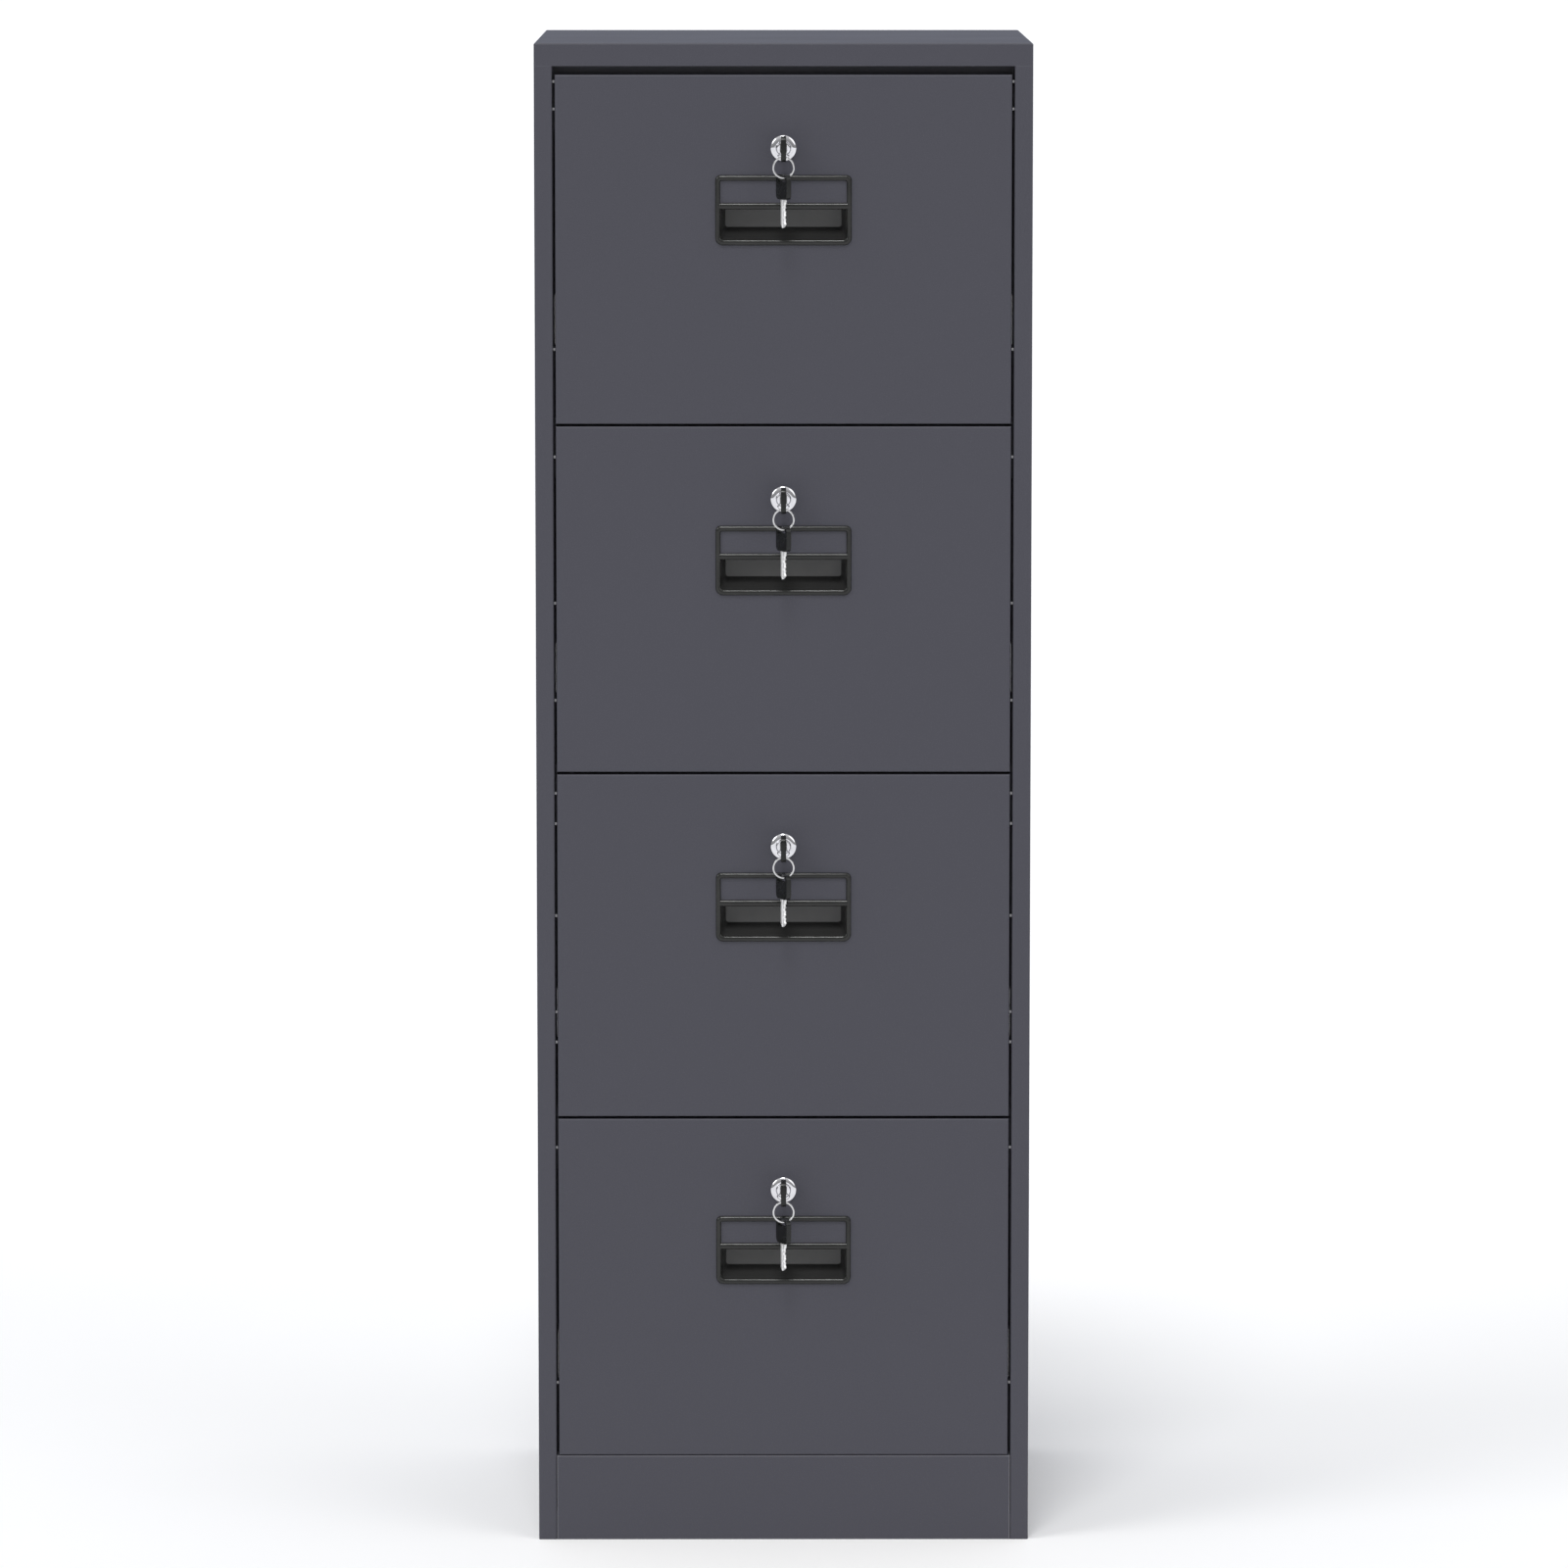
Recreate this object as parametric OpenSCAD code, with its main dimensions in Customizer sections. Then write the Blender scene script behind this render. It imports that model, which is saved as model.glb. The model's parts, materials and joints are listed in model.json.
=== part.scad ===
// Four-drawer steel filing cabinet: folded sheet case, drawers on ball-bearing slides, a cam
// lock on each drawer, and a key ring with a spare key hanging from the key in each lock.
// Millimetres. +X is right, +Y is towards the back, +Z is up.
// The origin is on the floor, under the centre of the case. Drawer 1 is the top drawer.

/* [Case] */
// Width of the case
cab_w = 436; // [425:1:450]
// Depth of the case
cab_d = 400; // [390:1:420]
// Height of the case
cab_h = 1330; // [1328:1:1340]
// Height of the lip of the top panel
cap_h = 20; // [18:1:22]
// Width of the upright stiles on each side of the drawers
stile_w = 16; // [15:0.5:17]
// Height of the plinth
plinth_h = 76.3; // [70:0.1:78]
// Thickness of the case sheet
case_t = 1; // [0.8:0.1:1.2]
// Outside radius of the sheet bends
bend_r = 1.6; // [1.4:0.1:2]

/* [Drawers] */
// Height from one drawer to the next
pitch = 307.5; // [307:0.1:308]
// Gap between one drawer front and the next
front_gap = 2.1; // [1.5:0.1:2.5]
// Gap between the top panel's lip and the first drawer
header_gap = 7.5; // [6:0.5:9]
// Gap between the stiles and the drawer fronts
side_gap = 2.2; // [1.5:0.1:2.5]
// Depth of the folded drawer front
front_d = 18; // [17:0.5:20]
// Length of the drawer body from front to back
body_l = 347; // [300:1:350]
// Distance between the two bars that carry hanging files
file_span = 330; // [325:1:332]

/* [Handle] */
// Width of the handle moulding
handle_w = 119.4; // [110:0.1:125]
// Height of the handle moulding
handle_h = 61.4; // [60:0.1:63]
// Distance from the top of the drawer front down to the handle
handle_drop = 87.4; // [85:0.1:90]
// How far the handle's bezel stands out of the drawer front
bezel_proud = 2.4; // [2:0.1:3]

/* [Lock and keys] */
// Distance from the top of the drawer front down to the lock
lock_drop = 63.9; // [62:0.1:65]
// Radius of the rim of the lock
rim_r = 11.5; // [11:0.1:12]
// Reach of the lock's cam from the lock's axis
cam_reach = 36; // [32:1:38]
// Mean radius of the key ring
ring_r = 8.95; // [8.5:0.05:9.5]
// Radius of the key ring's wire
wire_r = 0.85; // [0.7:0.05:0.9]
// Angle that the spare key is turned about the vertical, in degrees
spare_turn = 25; // [0:1:30]

/* [Hidden] */
$fn = 48;
eps = 0.01;
arc_steps = 4;

front_y = -cab_d / 2;
back_y = cab_d / 2;
body_top = cab_h - cap_h;
opening_half = cab_w / 2 - stile_w;
front_half = opening_half - side_gap;
front_h = pitch - front_gap;
plinth_gap = 0.3;

upright_in = opening_half - 0.7;
upright_w = 20;
upright_t = 1.2;
upright_base = 26.5;
front_upright_y = front_y + 16;
rear_upright_y = back_y - 50;

slide_t = 12.7;
slide_h = 45;
slide_gauge = 1.2;
slide_l = 345;
slide_drop = 215;

tub_t = 0.8;
tub_half = upright_in - slide_t;
tub_y = front_y + front_d;
slide_y = tub_y + 2;
tub_drop = 55;
tub_lift = 14;

anchor_z = 1250;
anchor_half = 120;
anchor_r = 4;
screw_x = cab_w / 2 - 8;
screw_zs = [60, 300, 550, 800, 1050, 1280];

plug_r = 6;
barrel_r = 9;
barrel_back = tub_y + 6;
lock_face = front_y - 3.4;
key_blade_l = 24.8;
key_blade_w = 7.5;
key_blade_t = 2;
key_head_l = 21.6;
key_head_w = 22;
key_head_t = 4.5;
key_slot_w = 16.4;
key_slot_h = 4.6;
key_slot_edge = 1.7;
key_out = front_y - 28.1;
wire_play = 0.35;
ring_y = key_out + key_slot_edge + key_slot_h / 2;
key_cut_depths = [1.4, 2.2, 1.0, 1.8, 1.2];

function drawer_top(n) = body_top - header_gap - (n - 1) * pitch;
function drawer_bottom(n) = n < 4 ? drawer_top(n) - front_h : plinth_h + plinth_gap;
function lock_z(n) = drawer_top(n) - lock_drop;
function slide_z(n) = drawer_top(n) - slide_drop;
function ring_top_z(n) = lock_z(n) - key_slot_w / 2 + wire_r + wire_play;
function ring_low_z(n) = ring_top_z(n) - 2 * ring_r;

CASE_NODES = ["left_side_panel", "right_side_panel", "top_panel", "back_panel", "bottom_panel",
    "plinth", "base_frame", "uprights", "lock_rails", "slide_outers_left", "slide_outers_right",
    "back_screws"];
DRAWER_PIECES = ["front", "body", "file_rails", "slide_inners", "slide_middles", "handle",
    "lock_barrel", "lock_plug", "lock_cam", "key", "key_ring", "spare_key"];

paint = [0.30, 0.30, 0.33];
bare_steel = [0.68, 0.69, 0.71];
chrome = [0.82, 0.82, 0.84];
black_plastic = [0.12, 0.12, 0.12];

// ---- outlines ----

// Points of one rounded corner, from angle a to angle a + 90.
function corner(cx, cy, r, a) =
    [for (i = [0:arc_steps]) [cx + r * cos(a + 90 * i / arc_steps), cy + r * sin(a + 90 * i / arc_steps)]];

// A rectangle from (x0, y0) to (x1, y1) with rounded corners: lower left, lower right, upper right, upper left.
function round_box(x0, y0, x1, y1, ll, lr, ur, ul) = concat(
    ll > 0 ? corner(x0 + ll, y0 + ll, ll, 180) : [[x0, y0]],
    lr > 0 ? corner(x1 - lr, y0 + lr, lr, 270) : [[x1, y0]],
    ur > 0 ? corner(x1 - ur, y1 - ur, ur, 0) : [[x1, y1]],
    ul > 0 ? corner(x0 + ul, y1 - ul, ul, 90) : [[x0, y1]]);

// Extrudes an outline drawn in (y, z) along X, centred on x = 0.
module along_x(width) {
    translate([-width / 2, 0, 0])
        rotate([90, 0, 90])
            linear_extrude(width)
                children();
}

// Extrudes an outline drawn in (x, z) along Y, from y0 for a length.
module along_y(y0, length) {
    translate([0, y0 + length, 0])
        rotate([90, 0, 0])
            linear_extrude(length)
                children();
}

// A box with its front edges rounded, from y0 back to y1 and from z0 to z1.
module front_block(half, y0, y1, z0, z1, r) {
    intersection() {
        translate([0, 0, z0])
            linear_extrude(z1 - z0)
                polygon(round_box(-half, y0, half, y1, r, r, 0, 0));
        along_x(2 * half)
            polygon(round_box(y0, z0, y1, z1, r, 0, 0, r));
    }
}

// A box with its top edges and its upright corners rounded.
module cap_block(half, y0, y1, z0, z1, r) {
    intersection() {
        translate([0, 0, z0])
            linear_extrude(z1 - z0)
                polygon(round_box(-half, y0, half, y1, r, r, r, r));
        along_x(2 * half)
            polygon(round_box(y0, z0, y1, z1, 0, 0, r, r));
        along_y(y0, y1 - y0)
            polygon(round_box(-half, z0, half, z1, 0, 0, r, r));
    }
}

module box_between(low, high) {
    translate(low)
        cube(high - low);
}

// A cylinder along Y from y0 to y1.
module rod_y(x, z, r, y0, y1) {
    translate([x, y1, z])
        rotate([90, 0, 0])
            cylinder(r = r, h = y1 - y0);
}

// ---- case ----

// The folded side: outer wall, front stile with a return, rear flange and top flange.
module side_panel() {
    half = cab_w / 2;
    return_d = 14;
    color(paint)
        difference() {
            linear_extrude(body_top)
                polygon(round_box(-half, front_y, -opening_half, back_y, bend_r, bend_r, bend_r, bend_r));
            box_between([-half + case_t, front_y + case_t, -1],
                [-opening_half - case_t, back_y - case_t, body_top - case_t]);
            box_between([-opening_half - case_t - eps, front_y + return_d, -1],
                [-opening_half + 1, back_y - case_t, body_top - case_t]);
            box_between([-half + case_t, front_y + case_t, -1],
                [-opening_half + 1, back_y - case_t, upright_base]);
            for (z = screw_zs)
                rod_y(-screw_x, z, 1.6, back_y - 2, back_y + 1);
        }
}

module left_side_panel() {
    side_panel();
}

module right_side_panel() {
    mirror([1, 0, 0])
        side_panel();
}

module top_panel() {
    half = cab_w / 2;
    flange = 15;
    color(paint)
        difference() {
            cap_block(half, front_y, back_y, body_top, cab_h, bend_r);
            cap_block(half - case_t, front_y + case_t, back_y - case_t,
                body_top + case_t, cab_h - case_t, bend_r - case_t);
            box_between([-half + flange, front_y + flange, body_top - 1],
                [half - flange, back_y - flange, body_top + case_t + eps]);
        }
}

module back_panel() {
    half = cab_w / 2 - case_t - 0.2;
    y1 = back_y - case_t;
    color(paint)
        difference() {
            box_between([-half, y1 - case_t, 2], [half, y1, body_top - case_t - 0.2]);
            for (side = [-1, 1]) {
                rod_y(side * anchor_half, anchor_z, anchor_r, y1 - 3, y1 + 3);
                for (z = screw_zs)
                    rod_y(side * screw_x, z, 1.6, y1 - 3, y1 + 3);
            }
        }
}

module bottom_panel() {
    half = upright_in - 0.1;
    z1 = plinth_h - case_t;
    flange = 14;
    color(paint)
        difference() {
            box_between([-half, front_y + bend_r + 0.4, z1 - flange], [half, back_y - 2 * case_t - 0.1, z1]);
            box_between([-half + case_t, front_y, z1 - flange - 1], [half - case_t, back_y, z1 - case_t]);
        }
}

module plinth() {
    depth = 16;
    color(paint)
        along_x(2 * opening_half - 0.6)
            difference() {
                polygon(round_box(front_y, 0, front_y + depth, plinth_h, 0, 0, 0, bend_r));
                polygon(round_box(front_y + case_t, -1, front_y + depth + 1, plinth_h - case_t,
                    0, 0, 0, bend_r - case_t));
            }
}

// A welded angle frame that stands on the floor inside the panels.
module base_frame() {
    x1 = cab_w / 2 - case_t - 0.1;
    y0 = front_y + case_t + 0.1;
    y1 = back_y - 2 * case_t - 0.1;
    gauge = 1.5;
    leg = 25;
    color(paint)
        difference() {
            box_between([-x1, y0, 0], [x1, y1, leg]);
            box_between([-x1 + gauge, y0 + gauge, gauge], [x1 - gauge, y1 - gauge, leg + 1]);
            box_between([-x1 + leg, y0 + leg, -1], [x1 - leg, y1 - leg, leg]);
        }
}

// A channel that carries the slides, with a pair of hook slots for each drawer.
module upright(y0) {
    wall = cab_w / 2 - case_t;
    slot_rise = 13;
    color(paint)
        difference() {
            box_between([-wall, y0, upright_base], [-upright_in, y0 + upright_w, body_top - case_t - 0.2]);
            box_between([-wall - 1, y0 + upright_t, upright_base - 1],
                [-upright_in - upright_t, y0 + upright_w - upright_t, body_top]);
            for (n = [1:4])
                for (rise = [-slot_rise, slot_rise])
                    translate([-upright_in - 3, y0 + upright_w / 2 - 2, slide_z(n) + rise - 4])
                        cube([6, 4, 8]);
        }
}

module uprights() {
    for (side = [0, 1])
        mirror([side, 0, 0])
            for (y0 = [front_upright_y, rear_upright_y])
                upright(y0);
}

// The cross rails that the lock cams turn up behind, one behind the top edge of each front.
module lock_rails() {
    web_y = front_y + front_d + 2;
    rise = 6.5;
    hang = 47;
    flange = 20;
    color(paint)
        for (n = [1:4])
            along_x(2 * upright_in)
                difference() {
                    polygon(round_box(web_y, drawer_top(n) - hang, web_y + flange, drawer_top(n) + rise,
                        0, 0, 0, 0));
                    polygon(round_box(web_y + case_t, drawer_top(n) - hang - 1, web_y + flange + 1,
                        drawer_top(n) + rise - case_t, 0, 0, 0, 0));
                }
}

module back_screws() {
    head_r = 3.6;
    head_h = 1.6;
    color(bare_steel)
        for (side = [-1, 1])
            for (z = screw_zs) {
                rod_y(side * screw_x, z, 1.5, back_y - 2 * case_t - 3, back_y + eps);
                difference() {
                    rod_y(side * screw_x, z, head_r, back_y, back_y + head_h);
                    translate([side * screw_x - 2.4, back_y + head_h - 0.7, z - 0.4])
                        cube([4.8, 1, 0.8]);
                    translate([side * screw_x - 0.4, back_y + head_h - 0.7, z - 2.4])
                        cube([0.8, 1, 4.8]);
                }
            }
}

// ---- slides ----

// A channel section in (x, z): a web at x0 with lips at its top and bottom that reach to x1.
module channel(x0, x1, height) {
    difference() {
        polygon(round_box(min(x0, x1), -height / 2, max(x0, x1), height / 2, 0, 0, 0, 0));
        translate([x0 < x1 ? slide_gauge : -slide_gauge, 0])
            polygon(round_box(min(x0, x1), -height / 2 + slide_gauge, max(x0, x1),
                height / 2 - slide_gauge, 0, 0, 0, 0));
    }
}

// One member of the left slide, with its section drawn from the face of the upright inwards.
module slide_member(n, x0, x1, height) {
    color(bare_steel)
        along_y(slide_y, slide_l)
            translate([-upright_in, slide_z(n)])
                channel(x0, x1, height);
}

module slide_outers_left() {
    for (n = [1:4])
        slide_member(n, 0, 10, slide_h);
}

module slide_outers_right() {
    mirror([1, 0, 0])
        slide_outers_left();
}

module slide_middles(n) {
    for (side = [0, 1])
        mirror([side, 0, 0])
            slide_member(n, 3, 10.6, slide_h - 9.6);
}

module slide_inners(n) {
    for (side = [0, 1])
        mirror([side, 0, 0])
            slide_member(n, slide_t, 5.4, slide_h - 19.2);
}

// ---- drawer ----

module drawer_front(n) {
    lip = 20;
    z0 = drawer_bottom(n);
    z1 = drawer_top(n);
    color(paint)
        difference() {
            front_block(front_half, front_y, tub_y, z0, z1, bend_r);
            front_block(front_half - case_t, front_y + case_t, tub_y - case_t,
                z0 + case_t, z1 - case_t, bend_r - case_t);
            box_between([-front_half + lip, tub_y - 2 * case_t, z0 + lip], [front_half - lip, tub_y + 1, z1 - lip]);
            rod_y(0, lock_z(n), barrel_r + 0.2, front_y - 1, front_y + 2);
            box_between([-pocket_half - 0.2, front_y - 1, z1 - pocket_foot - 0.2],
                [pocket_half + 0.2, front_y + 2, z1 - pocket_head + 0.2]);
        }
}

// The drawer box, with hems along its sides and a notch round the lock.
module drawer_body(n) {
    hem = 8;
    notch_half = 16;
    notch_depth = 30;
    z0 = drawer_bottom(n) + tub_lift;
    z1 = drawer_top(n) - tub_drop;
    y1 = tub_y + body_l;
    color(paint)
        difference() {
            box_between([-tub_half, tub_y, z0], [tub_half, y1, z1]);
            box_between([-tub_half + tub_t, tub_y + tub_t, z0 + tub_t], [tub_half - tub_t, y1 - tub_t, z1 - tub_t]);
            box_between([-tub_half + hem, tub_y + tub_t, z1 - 2 * tub_t], [tub_half - hem, y1 - tub_t, z1 + 1]);
            box_between([-notch_half, tub_y - 1, z1 - notch_depth], [notch_half, tub_y + 2, z1 + 1]);
        }
}

// Two bars for hanging files, each with a foot against the front wall and the back wall.
module file_rails(n) {
    bar_t = 2;
    bar_h = 12;
    foot_w = 14;
    z1 = drawer_top(n) - tub_drop - 1;
    y0 = tub_y + tub_t;
    y1 = tub_y + body_l - tub_t;
    color(bare_steel)
        for (side = [0, 1])
            mirror([side, 0, 0])
                difference() {
                    box_between([file_span / 2 - bar_t / 2, y0, z1 - bar_h],
                        [file_span / 2 + foot_w, y1, z1]);
                    box_between([file_span / 2 + bar_t / 2, y0 + bar_t, z1 - bar_h - 1],
                        [file_span / 2 + foot_w + 1, y1 - bar_t, z1 + 1]);
                }
}

// ---- handle ----

pocket_half = 57;
pocket_head = 112.4;
pocket_foot = 146.4;
bezel_t = 4.4;

// One moulding: a bezel round a card window, a bar below the window, and a finger pocket under the bar.
module handle(n) {
    top = drawer_top(n);
    mouth_half = handle_w / 2 - bezel_t;
    window_top = handle_drop + 5;
    bar_top = 111.7;
    bar_low = 117.4;
    mouth_low = handle_drop + handle_h - 5.2;
    pocket_d = 14.4;
    wall = 1.5;
    color(black_plastic)
        difference() {
            union() {
                along_y(front_y - bezel_proud, bezel_proud)
                    polygon(round_box(-handle_w / 2, top - handle_drop - handle_h, handle_w / 2,
                        top - handle_drop, 5, 5, 3, 3));
                along_x(2 * pocket_half)
                    polygon([[front_y - eps, top - pocket_head], [front_y - eps, top - pocket_foot],
                        [front_y + pocket_d + wall, top - 135.5], [front_y + pocket_d + wall, top - pocket_head]]);
            }
            box_between([-mouth_half, front_y - 4, top - bar_top], [mouth_half, front_y + eps, top - window_top]);
            box_between([-mouth_half, front_y - 4, top - mouth_low], [mouth_half, front_y + eps, top - bar_low]);
            along_x(2 * mouth_half)
                polygon([[front_y, top - pocket_head - wall], [front_y, top - mouth_low],
                    [front_y + pocket_d, top - 133.8], [front_y + pocket_d, top - pocket_head - wall]]);
        }
}

// ---- lock ----

// The fixed lock case with its rim, and the nut behind the drawer front.
module lock_barrel(n) {
    nut_r = 13;
    color(chrome) {
        difference() {
            union() {
                rod_y(0, lock_z(n), rim_r, front_y - 1.2, front_y);
                translate([0, front_y - 1.2, lock_z(n)])
                    rotate([90, 0, 0])
                        cylinder(r1 = rim_r, r2 = 8.6, h = 1.6);
                rod_y(0, lock_z(n), barrel_r, front_y - eps, barrel_back);
            }
            rod_y(0, lock_z(n), plug_r + 0.05, front_y - 4, barrel_back + 1);
        }
        difference() {
            rod_y(0, lock_z(n), nut_r, front_y + case_t, front_y + case_t + 3);
            rod_y(0, lock_z(n), barrel_r + 0.02, front_y, front_y + 6);
        }
    }
}

// The turning core of the lock, with its keyway and a square tang for the cam.
module lock_plug(n) {
    tang = 6;
    color(chrome)
        difference() {
            union() {
                rod_y(0, lock_z(n), plug_r, lock_face, barrel_back);
                box_between([-tang / 2, barrel_back - eps, lock_z(n) - tang / 2],
                    [tang / 2, barrel_back + 2.4, lock_z(n) + tang / 2]);
            }
            box_between([-key_blade_t / 2 - 0.2, lock_face - 1, lock_z(n) - key_blade_w / 2 - 0.3],
                [key_blade_t / 2 + 0.2, lock_face + 22.5, lock_z(n) + key_blade_w / 2 + 0.3]);
        }
}

// The cam on the tang, turned to the left while the lock is open, and the screw that holds it.
module lock_cam(n) {
    color(bare_steel) {
        along_y(barrel_back + 0.3, 2)
            translate([0, lock_z(n)])
                difference() {
                    union() {
                        circle(r = 8);
                        translate([-cam_reach, -6])
                            square([cam_reach, 12]);
                    }
                    square(6.4, center = true);
                }
        rod_y(0, lock_z(n), 4.6, barrel_back + 2.4, barrel_back + 4.2);
    }
}

// ---- keys ----

// The outline of a key's blade, pointing along +x, with cuts along its upper edge.
module blade_outline() {
    half = key_blade_w / 2;
    cuts = len(key_cut_depths);
    step = (key_blade_l - 8) / cuts;
    polygon(concat(
        [[0, -half], [key_blade_l - 3, -half], [key_blade_l, -half + 2.5], [key_blade_l - 3, half]],
        [for (i = [cuts - 1:-1:0]) for (part = [1, 0.5, 0])
            [4 + (i + part) * step, part == 0.5 ? half - key_cut_depths[i] : half]],
        [[0, half]]));
}

// The outline of a key's head, with its slot near the outer end at x = 0.
module head_outline() {
    difference() {
        polygon(round_box(0, -key_head_w / 2, key_head_l, key_head_w / 2, 4.5, 4.5, 4.5, 4.5));
        polygon(round_box(key_slot_edge, -key_slot_w / 2, key_slot_edge + key_slot_h, key_slot_w / 2,
            2, 2, 2, 2));
    }
}

// A key pointing along +X from its head's outer end, with its flat sides facing -Z and +Z.
module plain_key() {
    color(black_plastic)
        translate([0, 0, -key_head_t / 2])
            linear_extrude(key_head_t)
                head_outline();
    color(bare_steel)
        translate([key_head_l, 0, -key_blade_t / 2])
            linear_extrude(key_blade_t)
                blade_outline();
}

module key(n) {
    translate([0, key_out, lock_z(n)])
        rotate([90, 0, 90])
            plain_key();
}

module key_ring(n) {
    color(bare_steel)
        translate([0, ring_y, ring_top_z(n) - ring_r])
            rotate([90, 0, 0])
                rotate_extrude()
                    translate([ring_r, 0])
                        circle(r = wire_r);
}

module spare_key(n) {
    head_top = ring_low_z(n) + wire_r + wire_play + key_slot_edge;
    translate([0, ring_y, head_top])
        rotate([0, 0, spare_turn + 180])
            rotate([0, 90, 0])
                plain_key();
}

// ---- assembly ----

left_side_panel();
right_side_panel();
top_panel();
back_panel();
bottom_panel();
plinth();
base_frame();
uprights();
lock_rails();
slide_outers_left();
slide_outers_right();
back_screws();
for (n = [1:4]) {
    drawer_front(n);
    drawer_body(n);
    file_rails(n);
    slide_inners(n);
    slide_middles(n);
    handle(n);
    lock_barrel(n);
    lock_plug(n);
    lock_cam(n);
    key(n);
    key_ring(n);
    spare_key(n);
}
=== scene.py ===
"""Looks of a four-drawer steel filing cabinet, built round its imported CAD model.

The frame is in metres: +X is right, +Y is towards the back, +Z is up, and the floor is z = 0.
Small pieces are drawn in millimetres about their own origin; put() scales them and puts them in place.
"""
import json
import math

import bmesh
import bpy
from mathutils import Matrix, Vector


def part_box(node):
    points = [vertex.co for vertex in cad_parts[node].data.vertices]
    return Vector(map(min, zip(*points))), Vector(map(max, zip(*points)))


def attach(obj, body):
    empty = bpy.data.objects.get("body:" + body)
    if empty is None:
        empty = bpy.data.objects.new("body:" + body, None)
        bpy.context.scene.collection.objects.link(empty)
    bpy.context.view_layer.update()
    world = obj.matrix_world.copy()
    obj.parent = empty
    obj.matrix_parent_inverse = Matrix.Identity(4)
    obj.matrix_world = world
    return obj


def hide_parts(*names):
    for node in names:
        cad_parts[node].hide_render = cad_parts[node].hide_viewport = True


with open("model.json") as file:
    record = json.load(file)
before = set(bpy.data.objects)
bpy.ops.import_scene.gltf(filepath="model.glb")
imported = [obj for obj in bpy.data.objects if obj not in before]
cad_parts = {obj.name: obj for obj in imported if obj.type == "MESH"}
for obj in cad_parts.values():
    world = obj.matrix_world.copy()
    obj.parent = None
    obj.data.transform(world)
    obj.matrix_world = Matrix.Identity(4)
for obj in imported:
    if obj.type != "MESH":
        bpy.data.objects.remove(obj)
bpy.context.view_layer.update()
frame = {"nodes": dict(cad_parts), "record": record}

MM = 0.001
DRAWERS = (1, 2, 3, 4)
TAU = 2 * math.pi


# ---- node helpers ----

def new_material(name, color, roughness, metallic=0.0):
    """A material with these plain values. Returns it with its node tree and its shader."""
    material = bpy.data.materials.new(name)
    material.use_nodes = True
    tree = material.node_tree
    shader = tree.nodes["Principled BSDF"]
    shader.inputs["Base Color"].default_value = (*color, 1)
    shader.inputs["Roughness"].default_value = roughness
    shader.inputs["Metallic"].default_value = metallic
    return material, tree, shader


def noise(tree, scale, detail=2.0, stretch=(1, 1, 1)):
    """A cloudy pattern from 0 to 1, with about this many waves in a metre along each axis."""
    coordinates = tree.nodes.new("ShaderNodeTexCoord")
    mapping = tree.nodes.new("ShaderNodeMapping")
    mapping.inputs["Scale"].default_value = stretch
    node = tree.nodes.new("ShaderNodeTexNoise")
    node.inputs["Scale"].default_value = scale
    node.inputs["Detail"].default_value = detail
    tree.links.new(coordinates.outputs["Object"], mapping.inputs["Vector"])
    tree.links.new(mapping.outputs["Vector"], node.inputs["Vector"])
    return node.outputs["Fac"]


def remap(tree, value, low, high, to_low, to_high):
    """Turns values from low to high into values from to_low to to_high."""
    node = tree.nodes.new("ShaderNodeMapRange")
    node.inputs["From Min"].default_value = low
    node.inputs["From Max"].default_value = high
    node.inputs["To Min"].default_value = to_low
    node.inputs["To Max"].default_value = to_high
    tree.links.new(value, node.inputs["Value"])
    return node.outputs["Result"]


def product(tree, first, second):
    node = tree.nodes.new("ShaderNodeMath")
    node.operation = "MULTIPLY"
    tree.links.new(first, node.inputs[0])
    tree.links.new(second, node.inputs[1])
    return node.outputs["Value"]


def mixed(tree, share, first, second):
    """A colour between first and second, each a colour or another node's output."""
    node = tree.nodes.new("ShaderNodeMixRGB")
    tree.links.new(share, node.inputs["Fac"])
    for socket, color in (("Color1", first), ("Color2", second)):
        if isinstance(color, tuple):
            node.inputs[socket].default_value = (*color, 1)
        else:
            tree.links.new(color, node.inputs[socket])
    return node.outputs["Color"]


def bumped(tree, shader, layers):
    """Raises the surface by several (height, depth in metres) layers, the coarsest first."""
    under = None
    for height, depth in layers:
        node = tree.nodes.new("ShaderNodeBump")
        node.inputs["Distance"].default_value = depth
        tree.links.new(height, node.inputs["Height"])
        if under is not None:
            tree.links.new(under, node.inputs["Normal"])
        under = node.outputs["Normal"]
    tree.links.new(under, shader.inputs["Normal"])


def edge_mask(tree, radius):
    """1 along a piece's edges, 0 on its flat parts."""
    bevel = tree.nodes.new("ShaderNodeBevel")
    bevel.samples = 4
    bevel.inputs["Radius"].default_value = radius
    geometry = tree.nodes.new("ShaderNodeNewGeometry")
    dot = tree.nodes.new("ShaderNodeVectorMath")
    dot.operation = "DOT_PRODUCT"
    tree.links.new(bevel.outputs["Normal"], dot.inputs[0])
    tree.links.new(geometry.outputs["Normal"], dot.inputs[1])
    return remap(tree, dot.outputs["Value"], 0.995, 0.8, 0, 1)


# ---- materials ----

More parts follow.
